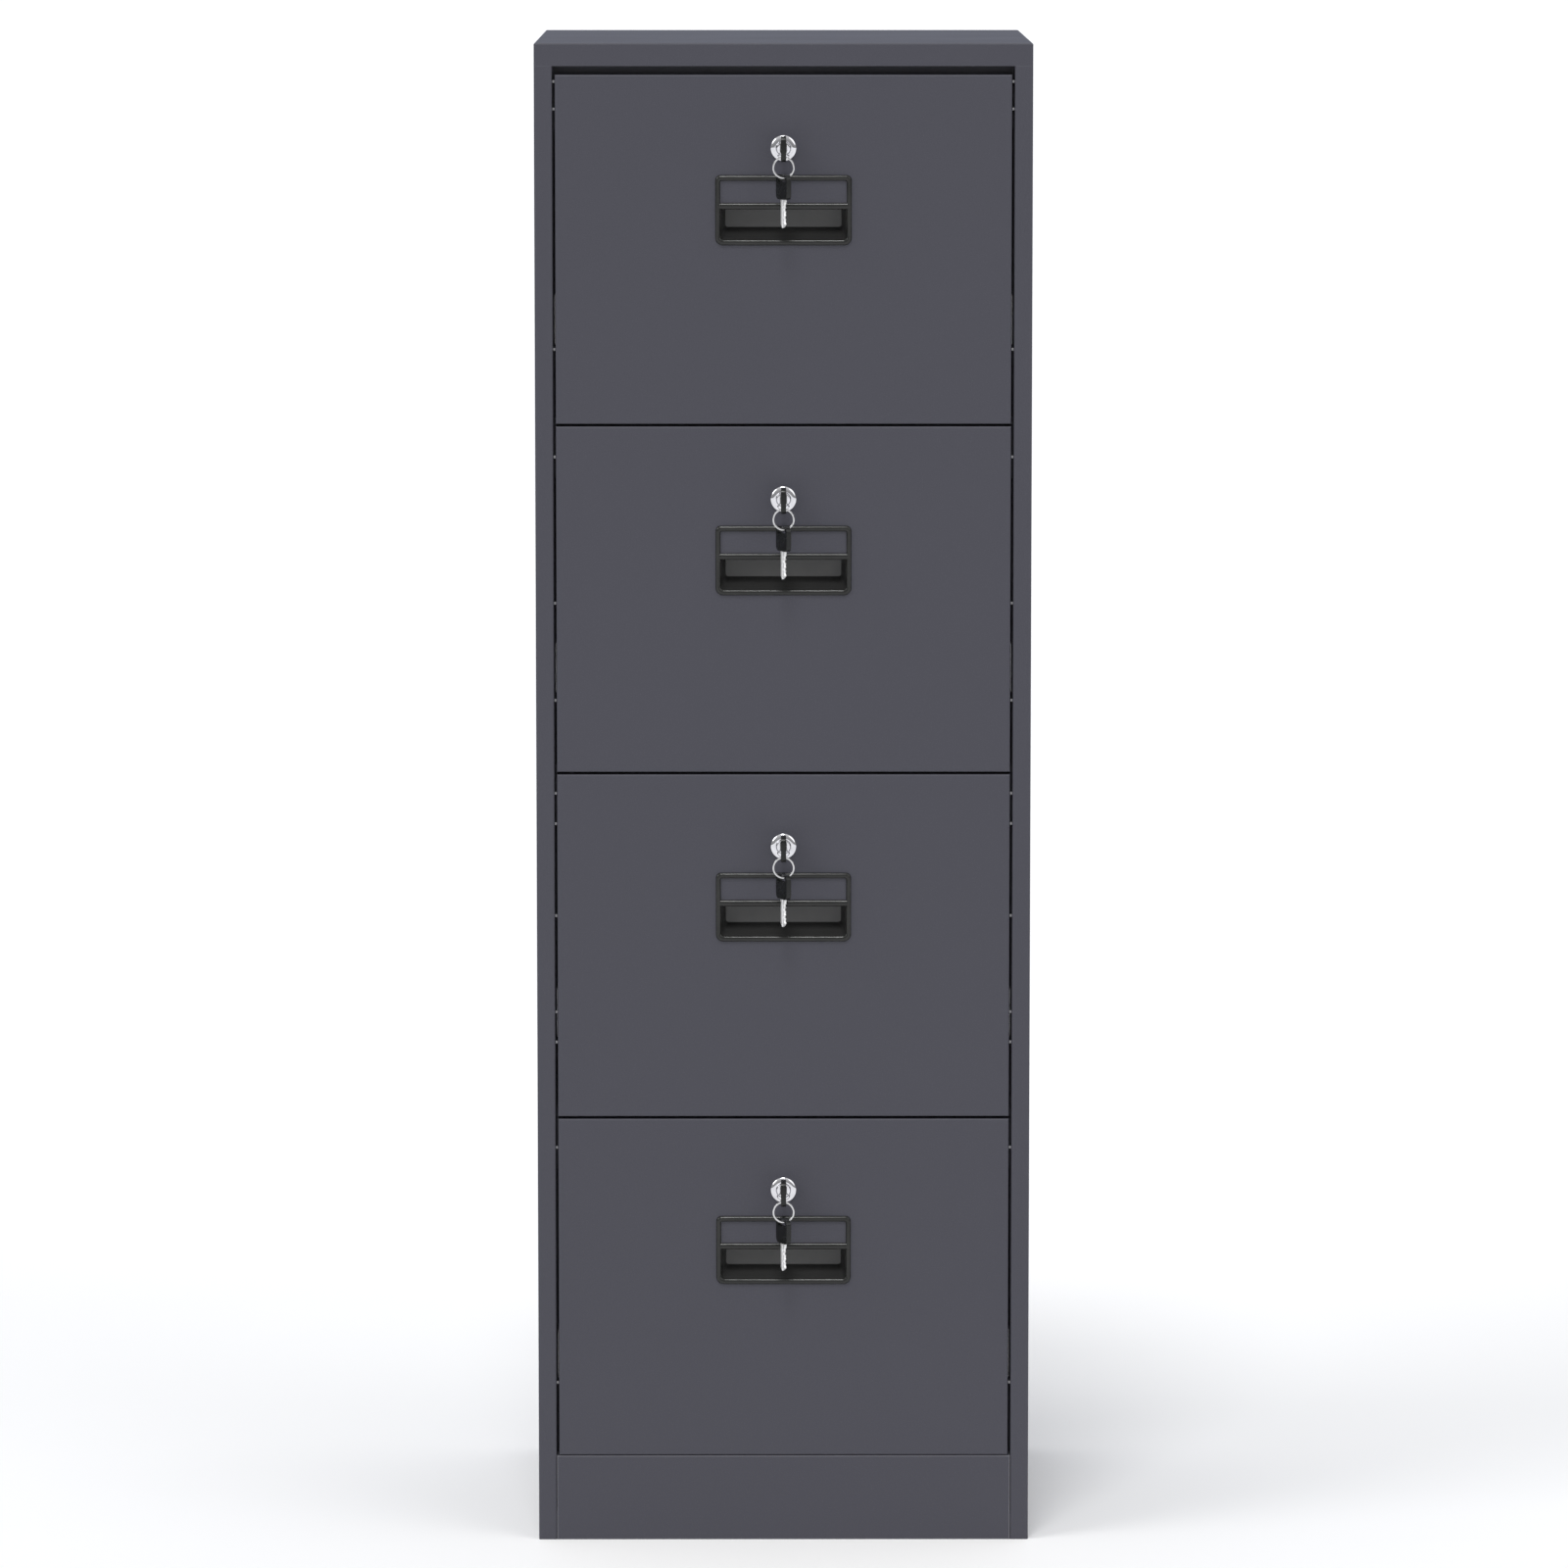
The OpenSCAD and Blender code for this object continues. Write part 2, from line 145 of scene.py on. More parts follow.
def powder_coat(name, edge_wear_and_highlight_color, least_edge_wear_and_highlight, most_edge_wear_and_highlight, edge_width):
    """Anthracite powder coat: a fine grain over a slight orange peel, its edges paler in places: partly
    wear, partly a painted highlight along the bends.
    """
    material, tree, shader = new_material(name, (0.050, 0.050, 0.065), 0.5)
    shader.inputs["Specular IOR Level"].default_value = 0.45
    clouds = remap(tree, noise(tree, 2.5, 3), 0.35, 0.65, 0, 1)
    color = mixed(tree, clouds, (0.0487, 0.0488, 0.0640), (0.0500, 0.0499, 0.0657))
    grain = noise(tree, 1100, 2)
    color = mixed(tree, remap(tree, grain, 0.55, 0.75, 0, 0.6), color, (0.080, 0.080, 0.098))
    # the edges are painted paler: partly wear, partly a painted highlight along the bends
    wear_and_highlight_places = remap(tree, noise(tree, 60, 4), 0.35, 0.7, least_edge_wear_and_highlight, most_edge_wear_and_highlight)
    edge_wear_and_highlight = product(tree, edge_mask(tree, edge_width), wear_and_highlight_places)
    color = mixed(tree, edge_wear_and_highlight, color, edge_wear_and_highlight_color)
    tree.links.new(color, shader.inputs["Base Color"])
    smudges = remap(tree, noise(tree, 9, 4), 0.35, 0.7, 0.49, 0.54)
    tree.links.new(smudges, shader.inputs["Roughness"])
    bumped(tree, shader, [(noise(tree, 420, 1), 0.0001), (grain, 0.00005)])
    return material


def zinc_plate():
    """Bright zinc: pale clouds, drawing marks along Y, a dull film here and there."""
    material, tree, shader = new_material("zinc_plate", (0.55, 0.56, 0.58), 0.34, 1.0)
    clouds = remap(tree, noise(tree, 35, 4), 0.35, 0.65, 0, 1)
    color = mixed(tree, clouds, (0.50, 0.51, 0.54), (0.62, 0.62, 0.62))
    marks = noise(tree, 900, 2, (1, 0.02, 1))
    film = remap(tree, noise(tree, 18, 5), 0.5, 0.75, 0, 0.5)
    color = mixed(tree, film, color, (0.42, 0.43, 0.43))
    tree.links.new(color, shader.inputs["Base Color"])
    tree.links.new(remap(tree, marks, 0.3, 0.7, 0.26, 0.42), shader.inputs["Roughness"])
    bumped(tree, shader, [(clouds, 0.00002), (marks, 0.000015)])
    return material


def chrome_plate():
    """Polished chrome with a faint haze of handling marks."""
    material, tree, shader = new_material("chrome_plate", (0.72, 0.72, 0.75), 0.08, 1.0)
    haze = remap(tree, noise(tree, 240, 4), 0.4, 0.7, 0, 1)
    tree.links.new(mixed(tree, haze, (0.74, 0.74, 0.77), (0.66, 0.66, 0.69)), shader.inputs["Base Color"])
    tree.links.new(remap(tree, haze, 0, 1, 0.05, 0.13), shader.inputs["Roughness"])
    bumped(tree, shader, [(noise(tree, 500, 2), 0.000004)])
    return material


def nickel_plate(name, bright, worn_color, rough, metallic):
    """Nickel-plated metal, brushed and a little worn."""
    material, tree, shader = new_material(name, bright, rough, metallic)
    lines = noise(tree, 2500, 2, (1, 1, 0.06))
    worn = remap(tree, noise(tree, 320, 3), 0.45, 0.7, 0, 0.5)
    tree.links.new(mixed(tree, worn, bright, worn_color), shader.inputs["Base Color"])
    tree.links.new(remap(tree, lines, 0.3, 0.7, rough - 0.06, rough + 0.06), shader.inputs["Roughness"])
    bumped(tree, shader, [(lines, 0.000006)])
    return material


def moulded_plastic(name, dark, pale, rough, grain_depth):
    """Black moulded plastic: a fine spark grain, slightly paler and shinier where it is touched."""
    material, tree, shader = new_material(name, dark, rough)
    shader.inputs["Specular IOR Level"].default_value = 0.35
    touched = remap(tree, noise(tree, 45, 3), 0.4, 0.7, 0, 1)
    grain = noise(tree, 1900, 2)
    color = mixed(tree, touched, dark, pale)
    color = mixed(tree, product(tree, edge_mask(tree, 0.5 * MM), touched), color,
                  tuple(1.8 * c for c in pale))
    tree.links.new(color, shader.inputs["Base Color"])
    tree.links.new(remap(tree, touched, 0, 1, rough, rough - 0.08), shader.inputs["Roughness"])
    bumped(tree, shader, [(noise(tree, 300, 2), 0.00001), (grain, grain_depth)])
    return material


def nylon():
    """Grey nylon of the small buffers beside the drawer fronts."""
    material, tree, shader = new_material("nylon", (0.2, 0.2, 0.21), 0.5)
    clouds = noise(tree, 700, 3)
    tree.links.new(mixed(tree, clouds, (0.17, 0.17, 0.18), (0.26, 0.26, 0.27)), shader.inputs["Base Color"])
    tree.links.new(remap(tree, clouds, 0.3, 0.7, 0.4, 0.6), shader.inputs["Roughness"])
    bumped(tree, shader, [(clouds, 0.00001)])
    return material


# the paler colour along the edges is partly wear, partly a painted highlight
paint = powder_coat("powder_coat", (0.120, 0.122, 0.138), 0.2, 0.75, 0.9 * MM)
# the plinth's coat paints its edges much paler: a painted highlight, a light line along its top edge
plinth_painted_highlight_coat = powder_coat("plinth_coat_painted_highlight", (0.22, 0.22, 0.235), 0.7, 1.0, 1.8 * MM)
zinc = zinc_plate()
chrome = chrome_plate()
nickel = nickel_plate("blade_nickel", (0.95, 0.95, 0.96), (0.86, 0.86, 0.84), 0.3, 0.45)
ring_nickel = nickel_plate("ring_nickel", (0.66, 0.66, 0.67), (0.54, 0.54, 0.54), 0.2, 1.0)
frame_black = moulded_plastic("frame_black", (0.0145, 0.0150, 0.0142), (0.019, 0.0195, 0.0186), 0.2,
                              0.000003)
pocket_black = moulded_plastic("pocket_black", (0.016, 0.016, 0.0158), (0.020, 0.020, 0.0198), 0.4, 0.00001)
# a much paler copy of the pocket's plastic for its back wall alone: painted light, while the rest of the
# pocket stays dark
pocket_back_painted_light = moulded_plastic("pocket_back_painted_light", (0.084, 0.084, 0.084), (0.092, 0.092, 0.092), 0.5, 0.00002)
key_black = moulded_plastic("key_black", (0.007, 0.0075, 0.0075), (0.010, 0.011, 0.011), 0.3, 0.00001)
buffer_grey = nylon()


# ---- outlines and meshes, in millimetres ----

def arc(cx, cy, r, start, sweep, steps):
    """Points of an arc round (cx, cy), from the start angle through the sweep, in degrees."""
    angles = [math.radians(start + sweep * i / steps) for i in range(steps + 1)]
    return [(cx + r * math.cos(a), cy + r * math.sin(a)) for a in angles]


def rounded(x0, y0, x1, y1, low_r, high_r, steps=6):
    """A rectangle's outline, anticlockwise: one radius for its low corners, one for its high ones."""
    return (arc(x0 + low_r, y0 + low_r, low_r, 180, 90, steps)
            + arc(x1 - low_r, y0 + low_r, low_r, 270, 90, steps)
            + arc(x1 - high_r, y1 - high_r, high_r, 0, 90, steps)
            + arc(x0 + high_r, y1 - high_r, high_r, 90, 90, steps))


def between(first, second, share):
    """The outline part of the way from one outline to another with as many points."""
    return [(a + (c - a) * share, b + (d - b) * share) for (a, b), (c, d) in zip(first, second)]


def at_depth(outline, y):
    """An outline drawn in (x, z), as points at this y."""
    return [Vector((x, y, z)) for x, z in outline]


def loft(bm, loops, ring=False):
    """Joins loops of equal length with faces: as a closed ring of loops, or with both ends capped."""
    rows = [[bm.verts.new(p) for p in loop] for loop in loops]
    count = len(rows[0])
    pairs = list(zip(rows, rows[1:] + rows[:1])) if ring else list(zip(rows, rows[1:]))
    faces = []
    for low, high in pairs:
        for i in range(count):
            j = (i + 1) % count
            faces.append(bm.faces.new((low[i], low[j], high[j], high[i])))
    if not ring:
        faces.append(bm.faces.new(rows[0][::-1]))
        faces.append(bm.faces.new(rows[-1]))
    bmesh.ops.recalc_face_normals(bm, faces=faces)


def lathe(bm, profile, steps=64):
    """Turns a profile of (radius, y) points round the Y axis, with both ends capped."""
    loft(bm, [at_depth(arc(0, 0, r, 0, 360 - 360 / steps, steps - 1), y) for r, y in profile])


def lathe_ring(bm, profile, steps=64):
    """Turns a closed profile of (radius, y) points round the Y axis, as a ring with a bore."""
    loft(bm, [at_depth(arc(0, 0, r, 0, 360 - 360 / steps, steps - 1), y) for r, y in profile], ring=True)


def plate(bm, outlines, thickness, bevel, steps=3):
    """Draws a flat plate in an empty bmesh, centred on z = 0, with rounded rims.

    The first outline is its edge, the rest its holes.
    """
    edges = []
    for outline in outlines:
        ring = [bm.verts.new((x, y, -thickness / 2)) for x, y in outline]
        edges += [bm.edges.new((a, b)) for a, b in zip(ring, ring[1:] + ring[:1])]
    filled = bmesh.ops.triangle_fill(bm, use_beauty=True, use_dissolve=False, edges=edges)["geom"]
    faces = [f for f in filled if isinstance(f, bmesh.types.BMFace)]
    pushed = bmesh.ops.extrude_face_region(bm, geom=faces, use_keep_orig=True)["geom"]
    raised = [v for v in pushed if isinstance(v, bmesh.types.BMVert)]
    bmesh.ops.translate(bm, verts=raised, vec=(0, 0, thickness))
    bmesh.ops.recalc_face_normals(bm, faces=bm.faces)
    rims = [e for e in bm.edges
            if len(e.link_faces) == 2 and abs(e.verts[0].co.z - e.verts[1].co.z) < 1e-6
            and e.calc_face_angle(0) > 1]
    if bevel > 0:
        bmesh.ops.bevel(bm, geom=rims, offset=bevel, segments=steps, profile=0.5, affect="EDGES",
                        clamp_overlap=True)


def along_y(bm, middle_y=0):
    """Turns a plate so that its thickness runs along Y, and puts its middle at this y."""
    bmesh.ops.rotate(bm, verts=bm.verts, matrix=Matrix.Rotation(math.pi / 2, 3, "X"))
    bmesh.ops.translate(bm, verts=bm.verts, vec=(0, middle_y, 0))


def mesh_of(name, bm, smooth_below=40):
    """The finished mesh, smooth across edges flatter than this many degrees."""
    mesh = bpy.data.meshes.new(name)
    bm.to_mesh(mesh)
    bm.free()
    mesh.shade_smooth()
    mesh.set_sharp_from_angle(angle=math.radians(smooth_below))
    return mesh


def cut(mesh, cutter_bm):
    """The mesh with a cutter's shape taken out of it."""
    body = bpy.data.objects.new("cut_body", mesh)
    tool = bpy.data.objects.new("cut_tool", mesh_of("cut_tool", cutter_bm))
    for o in (body, tool):
        bpy.context.scene.collection.objects.link(o)
    modifier = body.modifiers.new("cut", "BOOLEAN")
    modifier.object = tool
    modifier.solver = "EXACT"
    modifier.use_self = True
    graph = bpy.context.evaluated_depsgraph_get()
    result = bpy.data.meshes.new_from_object(body.evaluated_get(graph))
    bpy.data.objects.remove(body)
    bpy.data.objects.remove(tool)
    result.shade_smooth()
    result.set_sharp_from_angle(angle=math.radians(40))
    return result


def put(name, mesh, place, material, body, replaced=()):
    """Scales a mesh from millimetres, puts it in place, and hands it to the body that carries it.

    material is one material, or a tuple of them in the order of the mesh's material numbers.
    """
    mesh = mesh.copy()
    mesh.name = name
    mesh.transform(place @ Matrix.Scale(MM, 4))
    if place.determinant() < 0:
        mesh.flip_normals()
    numbers = [face.material_index for face in mesh.polygons]
    mesh.materials.clear()
    for finish in material if isinstance(material, tuple) else (material,):
        mesh.materials.append(finish)
    mesh.polygons.foreach_set("material_index", numbers)
    piece = bpy.data.objects.new(name, mesh)
    bpy.context.scene.collection.objects.link(piece)
    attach(piece, body)
    if replaced:
        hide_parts(*replaced)
    return piece


# ---- CAD nodes that keep their shape ----

def finish_cad_nodes():
    """Gives every CAD node its material; the pieces below replace some of them."""
    finishes = {"body_paint": paint, "slide_steel": zinc, "lock_chrome": chrome, "key_steel": nickel,
                "black_plastic": frame_black}
    for row in frame["record"]["subparts"]:
        node = frame["nodes"][row["node"]]
        node.data.materials.clear()
        node.data.materials.append(finishes[row["material_slot"]])
    # the plinth takes the coat with the painted edge highlight
    frame["nodes"]["plinth"].data.materials[0] = plinth_painted_highlight_coat


# ---- handle ----

def handle_meshes(width, height):
    """The handle's two mouldings: a rounded frame with a bar across it, and a pocket that narrows inwards.

    Their origin is the middle of the top edge, on the drawer's front. z runs down to -height.
    """
    proud = 2.4
    side_w = 4.4
    window_top = -5.0
    bar_top = -24.3
    bar_low = -30.0
    mouth_low = -height + 5.2
    half = width / 2
    inner = half - side_w
    bm = bmesh.new()
    outer_loop = rounded(-half, -height, half, 0, 6.5, 4.5, 8)
    inner_loop = rounded(-inner, mouth_low, inner, window_top, 3.6, 1.2, 8)
    bead_steps = 12
    bead_angles = [math.pi * k / bead_steps for k in range(bead_steps + 1)]
    bead = []
    for a in bead_angles:
        across = (1 - math.cos(a)) / 2
        bead.append(at_depth(between(outer_loop, inner_loop, across), -proud * math.sin(a)))
    loft(bm, bead, ring=True)

    bar_proud = 0.9 * proud
    bar_mid = (bar_top + bar_low) / 2
    bar_half = (bar_top - bar_low) / 2
    bar_end = inner + 2
    bar_profile = [(-bar_proud * math.sin(a), bar_mid - bar_half * math.cos(a)) for a in bead_angles]
    loft(bm, [[Vector((x, y, z)) for y, z in bar_profile] for x in (-bar_end, bar_end)])
    frame_mesh = mesh_of("handle_frame", bm, 50)

    wall = 1.5
    depth = 14.4
    fillet = 0.6
    fillet_steps = 4
    back_half = inner - 4
    roof = bar_top - 0.7 - wall
    back_low = -46.4
    inset_half = back_half - fillet
    mouth = rounded(-inner, mouth_low, inner, roof, 3.6, 1, 8)
    back = rounded(-back_half, back_low, back_half, roof, 3.2, 1, 8)
    back_inset = rounded(-inset_half, back_low + fillet, inset_half, roof - fillet, 2, 0.6, 8)
    mouth_out = rounded(-inner - wall, mouth_low - wall, inner + wall, roof + wall, 4.4, 1.6, 8)
    back_out = rounded(-back_half - wall, back_low - wall, back_half + wall, roof + wall, 3.2, 1.6, 8)
    shell = [at_depth(back_out, depth + wall), at_depth(mouth_out, 0), at_depth(mouth, 0)]
    straight = (depth - fillet) / depth
    for k in range(fillet_steps + 1):
        a = math.pi / 2 * k / fillet_steps
        near_back = between(mouth, back, straight + (1 - straight) * math.sin(a))
        shell.append(at_depth(between(near_back, back_inset, 1 - math.cos(a)),
                              depth - fillet + fillet * math.sin(a)))
    bm = bmesh.new()
    loft(bm, shell)
    # the pocket's back face takes material 1, the paler copy of the plastic: painted light on the back wall
    for face in bm.faces:
        face.material_index = int(face.normal.y < -0.99 and face.calc_center_median().y > depth / 2)
    return frame_mesh, mesh_of("handle_pocket", bm, 50)


# ---- lock ----

def rim_mesh(rim_r):
    """The lock's domed rim, its threaded barrel and the nut behind the drawer front, round one bore."""
    dome_h = 2.0
    edge_h = 0.8
    bore_r = 6.1
    barrel_r = 8.7
    front_wall = 5
    barrel_end = 24
    thread_pitch = 1.0
    thread_h = 0.3
    mouth_r = bore_r + 0.7
    dome_steps = 10
    nut_corner_r = 12.6
    nut_t = 3
    profile = [(bore_r, barrel_end), (bore_r, -2.1), (bore_r + 0.25, -2.5), (mouth_r, -edge_h - dome_h)]
    for k in range(1, dome_steps + 1):
        a = math.pi / 2 * (1 - k / dome_steps)
        profile.append((mouth_r + (rim_r - mouth_r) * math.cos(a), -edge_h - dome_h * math.sin(a)))
    profile += [(rim_r, 0), (barrel_r, 0), (barrel_r, front_wall)]
    turns = int((barrel_end - front_wall - 1) / thread_pitch)
    for i in range(turns):
        y = front_wall + i * thread_pitch
        profile += [(barrel_r, y + 0.15), (barrel_r + thread_h, y + 0.45),
                    (barrel_r + thread_h, y + 0.55), (barrel_r, y + 0.85)]
    profile += [(barrel_r - 0.4, barrel_end)]
    bm = bmesh.new()
    lathe_ring(bm, profile, 72)
    nut = bmesh.new()
    plate(nut, [arc(0, 0, nut_corner_r, 30, 300, 5), arc(0, 0, barrel_r + 0.1, 0, 352.5, 47)], nut_t, 0.4, 2)
    along_y(nut, 2.7)
    bm.from_mesh(mesh_of("nut", nut))
    return mesh_of("lock_rim", bm, 35)


def plug_mesh():
    """The lock's core, with its keyway, and the square tang that carries the cam."""
    radius = 5.95
    length = 27.4
    stands_out = 3.4
    tang_l = 3.2
    tang_mid = 24.8
    keyway = rounded(-1.2, -4.05, 1.2, 4.05, 0.5, 0.5, 4)
    bm = bmesh.new()
    plate(bm, [arc(0, 0, radius, 0, 354, 59), keyway], length, 0.45)
    along_y(bm, length / 2 - stands_out)
    tang = bmesh.new()
    plate(tang, [rounded(-3, -3, 3, 3, 0.4, 0.4, 3)], tang_l, 0.3, 2)
    along_y(tang, tang_mid)
    bm.from_mesh(mesh_of("tang", tang))
    return mesh_of("lock_plug", bm)


def cam_mesh(reach):
    """The lock's cam: a hub with a square hole for the tang, and an arm with a rounded end."""
    hub_r = 8
    arm_half = 6
    hole_half = 3.2
    sheet_t = 2
    meet = math.degrees(math.asin(arm_half / hub_r))
    bm = bmesh.new()
    hub = arc(0, 0, hub_r, meet - 180, 360 - 2 * meet, 32)
    tip = arc(arm_half - reach, 0, arm_half, 90, 180, 16)
    hole = rounded(-hole_half, -hole_half, hole_half, hole_half, 0.3, 0.3, 2)
    plate(bm, [hub + tip, hole], sheet_t, 0.35)
    along_y(bm)
    return mesh_of("lock_cam", bm)


def screw_mesh(head_r, head_h, shank_r=0, shank_l=0):
    """A domed cross-head screw along Y. Its head stands from y = 0 to y = head_h."""
    crown_steps = 8
    crown_end = 80
    rim_share = 0.25
    profile = [(shank_r, -shank_l), (shank_r, 0)] if shank_l else []
    profile += [(head_r, 0), (head_r, rim_share * head_h)]
    for k in range(1, crown_steps + 1):
        a = math.radians(crown_end * k / crown_steps)
        rise = rim_share + (1 - rim_share) * math.sin(a) / math.sin(math.radians(crown_end))
        profile.append((head_r * math.cos(a), head_h * rise))
    bm = bmesh.new()
    lathe(bm, profile, 32)
    cross = bmesh.new()
    blade_half = 0.11 * head_r
    for half_x, half_z in ((blade_half, 0.55 * head_r), (0.55 * head_r, blade_half)):
        wide = [(-half_x, -half_z), (half_x, -half_z), (half_x, half_z), (-half_x, half_z)]
        narrow = [(0.6 * x, 0.6 * z) for x, z in wide]
        loft(cross, [at_depth(narrow, 0.4 * head_h), at_depth(wide, 1.2 * head_h)])
    return cut(mesh_of("screw", bm), cross)


# ---- keys ----

# a key's head and blade: length, width and thickness in millimetres
HEAD_L = 21.6
HEAD_W = 22.0
HEAD_T = 4.5
BLADE_L = 24.8
BLADE_W = 7.5
BLADE_T = 2.0


def key_head_mesh():
    """The plastic head of a key, pointing along +X from its outer end, with its slot near that end."""
    bm = bmesh.new()
    outline = rounded(0, -HEAD_W / 2, HEAD_L, HEAD_W / 2, 4.5, 4.5, 8)
    slot = rounded(1.7, -8.2, 6.3, 8.2, 2, 2, 6)
    plate(bm, [outline, slot], HEAD_T, 0.8, 4)
    return mesh_of("key_head", bm)


def key_blade_mesh():
    """The steel blade: a shoulder at the head, cuts of several depths along one edge, and two grooves."""
    half = BLADE_W / 2
    shoulder_l = 2.2
    cuts = (1.4, 2.2, 1.0, 1.8, 1.2)
    step = (BLADE_L - 8) / len(cuts)
    edge = []
    for i, depth in reversed(list(enumerate(cuts))):
        x = 4 + i * step
        edge += [(x + step, half), (x + 0.62 * step, half - depth), (x + 0.38 * step, half - depth)]
    outline = ([(-3, -half + 0.6), (0, -half - 0.5), (shoulder_l, -half - 0.5), (shoulder_l + 0.5, -half),
                (BLADE_L - 3, -half), (BLADE_L, -half + 2.5), (BLADE_L, -half + 3.4), (BLADE_L - 3, half)]
               + edge + [(4, half), (shoulder_l + 0.5, half), (shoulder_l, half + 0.5), (0, half + 0.5),
                         (-3, half - 0.6)])
    bm = bmesh.new()
    plate(bm, [outline], BLADE_T, 0.18, 2)
    grooves = bmesh.new()
    for side in (-1, 1):
        z0, z1 = sorted((side * (BLADE_T / 2 - 0.5), side * (BLADE_T / 2 + 1)))
        corners = ((-0.4, -0.9), (BLADE_L + 2, -0.9), (BLADE_L + 2, 0.7), (-0.4, 0.7))
        loft(grooves, [[Vector((x + 0.6, y, z)) for x, y in corners] for z in (z0, z1)])
    return cut(mesh_of("key_blade", bm), grooves)


def ring_mesh(mean_r):
    """A split key ring: two turns of flat wire side by side, rising from one turn to the next."""
    wide = 1.55
    thick = 0.78
    steps = 144
    profile = rounded(-wide / 2, -thick / 2, wide / 2, thick / 2, 0.3, 0.3, 3)
    start = math.radians(300)
    loops = []
    for i in range(steps + 1):
        turn = 2 * i / steps
        a = start + TAU * turn
        rise = min(max((turn - 0.9) / 0.2, 0), 1)
        rise = rise * rise * (3 - 2 * rise)
        y = (rise - 0.5) * (thick + 0.06)
        taper = min(1, 0.55 + 4 * min(turn, 2 - turn))
        section = [(mean_r + dr * taper, y + dy) for dr, dy in profile]
        loops.append([Vector((r * math.cos(a), wire_y, r * math.sin(a))) for r, wire_y in section])
    bm = bmesh.new()
    loft(bm, loops)
    return mesh_of("key_ring", bm)


# ---- the pieces of each drawer ----

def drawer_pieces():
    """The handle, lock, cam, keys and key ring of each drawer."""
    rim_r = 11.5
    cam_t = 2
    cam_screw_h = 1.8
    wire_half = 0.85
    spare_twist = 205
    handle_low, handle_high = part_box("drawer_1_handle")
    size = (handle_high - handle_low) / MM
    rim_low, rim_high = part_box("drawer_1_lock_barrel")
    ring_low, ring_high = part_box("drawer_1_key_ring")
    handle_frame, pocket = handle_meshes(size.x, size.z)
    rim = rim_mesh(rim_r)
    plug = plug_mesh()
    cam_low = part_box("drawer_1_lock_cam")[0]
    cam = cam_mesh((rim_low.x + rim_high.x) / 2 / MM - cam_low.x / MM)
    cam_screw = screw_mesh(4.6, cam_screw_h)
    head = key_head_mesh()
    blade = key_blade_mesh()
    ring = ring_mesh((ring_high.x - ring_low.x) / MM / 2 - wire_half)
    blade_step = Matrix.Translation((HEAD_L * MM, 0, 0))
    key_turn = Matrix.Rotation(math.pi / 2, 4, "Z") @ Matrix.Rotation(math.pi / 2, 4, "X")
    spare_turn = Matrix.Rotation(math.radians(spare_twist), 4, "Z") @ Matrix.Rotation(math.pi / 2, 4, "Y")
    for n in DRAWERS:
        front_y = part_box(f"drawer_{n}_front")[0].y
        low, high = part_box(f"drawer_{n}_handle")
        place = Matrix.Translation(((low.x + high.x) / 2, front_y, high.z))
        put(f"handle_frame_{n}", handle_frame, place, frame_black, f"drawer_{n}",
            [f"drawer_{n}_handle"])
        # the pocket's back wall takes the paler copy: painted light
        put(f"handle_pocket_{n}", pocket, place, (pocket_black, pocket_back_painted_light), f"drawer_{n}")

        low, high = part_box(f"drawer_{n}_lock_plug")
        axis = Vector(((low.x + high.x) / 2, front_y, (low.z + high.z) / 2))
        place = Matrix.Translation(axis)
        put(f"lock_rim_{n}", rim, place, chrome, f"drawer_{n}", [f"drawer_{n}_lock_barrel"])
        put(f"lock_core_{n}", plug, place, chrome, f"lock_{n}", [f"drawer_{n}_lock_plug"])
        low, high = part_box(f"drawer_{n}_lock_cam")
        place = Matrix.Translation((axis.x, low.y + cam_t / 2 * MM, axis.z))
        put(f"cam_{n}", cam, place, zinc, f"lock_{n}", [f"drawer_{n}_lock_cam"])
        place = Matrix.Translation((axis.x, high.y - cam_screw_h * MM, axis.z))
        put(f"cam_screw_{n}", cam_screw, place, zinc, f"lock_{n}")

        key_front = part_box(f"drawer_{n}_key")[0].y
        place = Matrix.Translation((axis.x, key_front, axis.z)) @ key_turn
        put(f"key_head_{n}", head, place, key_black, f"lock_{n}", [f"drawer_{n}_key"])
        put(f"key_blade_{n}", blade, place @ blade_step, nickel, f"lock_{n}")

        low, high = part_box(f"drawer_{n}_key_ring")
        centre = (low + high) / 2
        place = Matrix.Translation(centre)
        put(f"split_ring_{n}", ring, place, ring_nickel, f"ring_{n}", [f"drawer_{n}_key_ring"])

        spare_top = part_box(f"drawer_{n}_spare_key")[1].z
        place = Matrix.Translation((centre.x, centre.y, spare_top)) @ spare_turn
        put(f"spare_head_{n}", head, place, key_black, f"spare_key_{n}",
            [f"drawer_{n}_spare_key"])
        put(f"spare_blade_{n}", blade, place @ blade_step, nickel, f"spare_key_{n}")


# ---- slides ----

def thick_line(points, gauge):
    """The outline of a sheet section that follows these (x, z) points with this thickness."""
    left, right = [], []
    for i, (x, z) in enumerate(points):
        x0, z0 = points[max(i - 1, 0)]
        x1, z1 = points[min(i + 1, len(points) - 1)]
        length = math.hypot(x1 - x0, z1 - z0)
        nx, nz = (z0 - z1) / length * gauge / 2, (x1 - x0) / length * gauge / 2
        left.append((x + nx, z + nz))
        right.append((x - nx, z - nz))
    return left + right[::-1]


